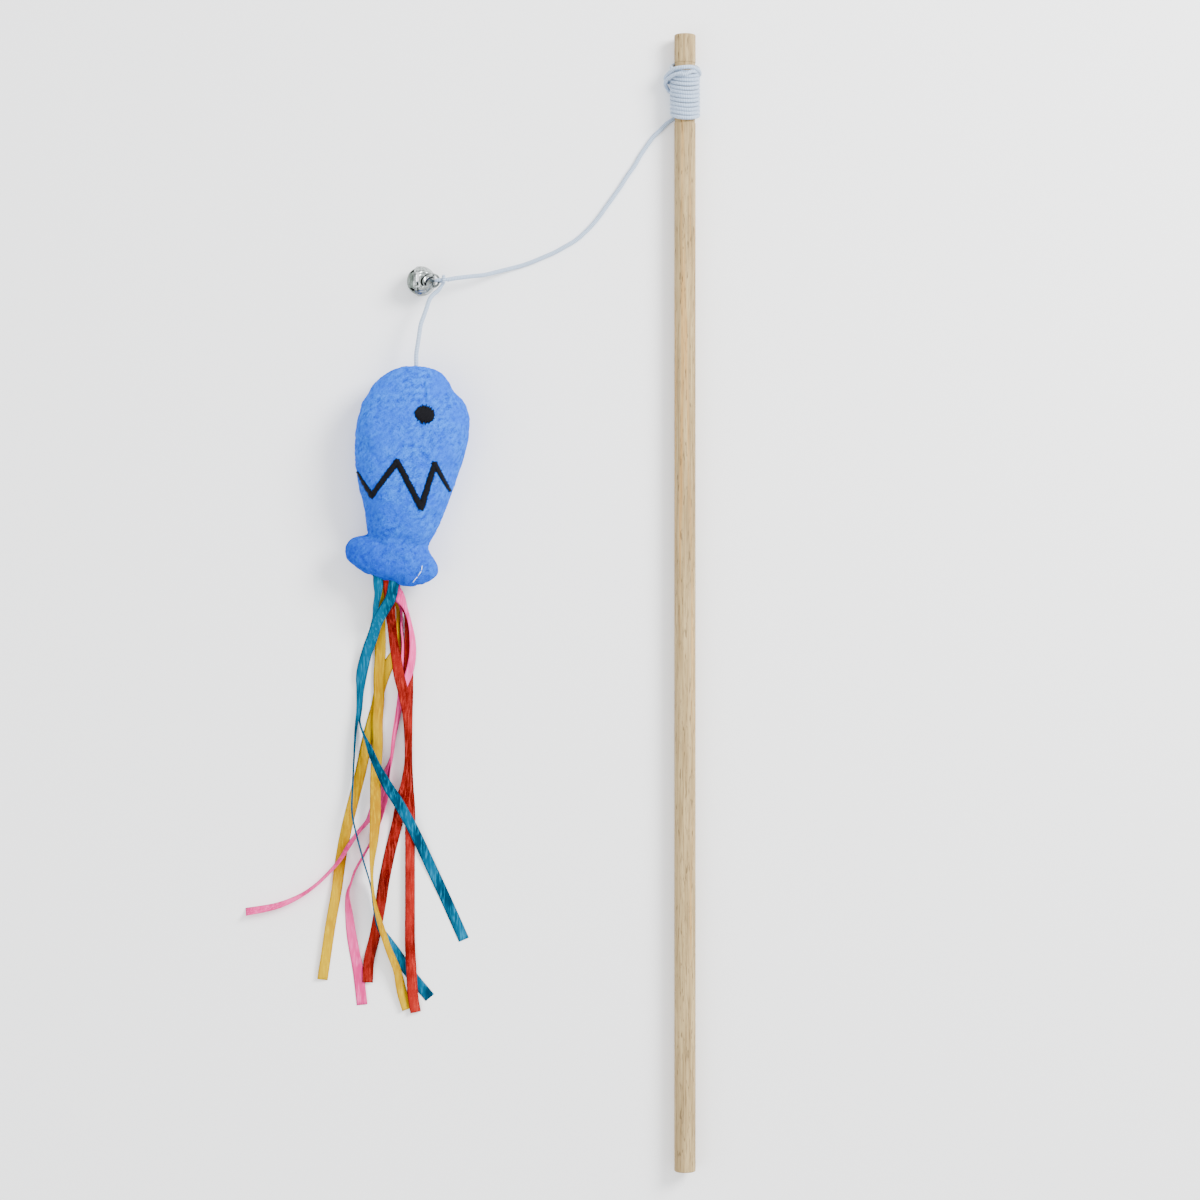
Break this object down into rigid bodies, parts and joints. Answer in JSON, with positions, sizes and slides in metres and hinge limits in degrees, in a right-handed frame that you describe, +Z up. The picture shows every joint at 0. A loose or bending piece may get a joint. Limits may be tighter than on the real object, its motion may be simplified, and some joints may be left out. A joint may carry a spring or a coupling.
{
  "type": "cat teaser wand",
  "caption": "Wooden wand with an elastic cord wound on its tip, a jingle bell knotted in the cord and a plush fish with a satin ribbon tail.",
  "frame": {"origin": "on the floor, at the middle of the box round everything but the free cord", "axes": "+Z up from the floor the wand lies on, +Y along the rod towards the tip that the cord is tied to, +X from the toy towards the rod"},
  "size_m": [0.1616, 0.4, 0.0216],
  "materials": {
    "wood": "pale, fine lengthwise grain, matt",
    "elastic": "white braided elastic",
    "bell_metal": "nickel plated, bright, slightly dented",
    "plush": "short blue nap",
    "filling": "white fibre",
    "black_thread": "black embroidery thread",
    "satin_teal": "satin ribbon",
    "satin_yellow": "satin ribbon",
    "satin_red": "satin ribbon with glitter",
    "satin_pink": "satin ribbon"
  },
  "bodies": {
    "wand": {"rod": "wood", "cord_winding": "elastic"},
    "leader": {"cord_upper": "elastic"},
    "dropper": {"cord_knot": "elastic", "cord_lower": "elastic"},
    "bell": {"bell_upper_shell": "bell_metal", "bell_lower_shell": "bell_metal", "bell_loop": "bell_metal"},
    "pellet": {"bell_pellet": "bell_metal"},
    "fish": {"fish_upper_panel": "plush", "fish_lower_panel": "plush", "fish_body_filling": "filling", "fish_tail_filling": "filling", "fish_eye": "black_thread", "fish_zigzag": "black_thread", "fish_closing_thread": "elastic"},
    "tassel": {"ribbon_teal_long": "satin_teal", "ribbon_teal_wide": "satin_teal", "ribbon_yellow_mid": "satin_yellow", "ribbon_yellow_left": "satin_yellow", "ribbon_red_left": "satin_red", "ribbon_red_right": "satin_red", "ribbon_pink_left": "satin_pink", "ribbon_pink_low": "satin_pink"}
  },
  "joints": [
    {"name": "cord_swing", "type": "hinge", "parent": "wand", "child": "leader", "pos_m": [0.0685, 0.1695, 0.00075], "axis": [0, 0, -1], "range_deg": [-12, 100]},
    {"name": "dropper_swing", "type": "hinge", "parent": "leader", "child": "dropper", "pos_m": [-0.0085, 0.1135, 0.008], "axis": [0, 0, 1], "range_deg": [-60, 15]},
    {"name": "bell_swing", "type": "hinge", "parent": "dropper", "child": "bell", "pos_m": [-0.0117, 0.1132, 0.00743], "axis": [0, 1, 0], "range_deg": [0, 90]},
    {"name": "pellet_rattle", "type": "slide", "parent": "bell", "child": "pellet", "axis": [0, 0, 1], "range_m": [0, 0.0066]},
    {"name": "fish_swing", "type": "hinge", "parent": "dropper", "child": "fish", "pos_m": [-0.0195, 0.0835, 0.0105], "axis": [0, 0, 1], "range_deg": [-60, 15]},
    {"name": "tassel_lift", "type": "hinge", "parent": "fish", "child": "tassel", "pos_m": [-0.02945, 0.00684, 0.012], "axis": [-0.9455, 0.3256, 0], "range_deg": [0, 90]}
  ]
}
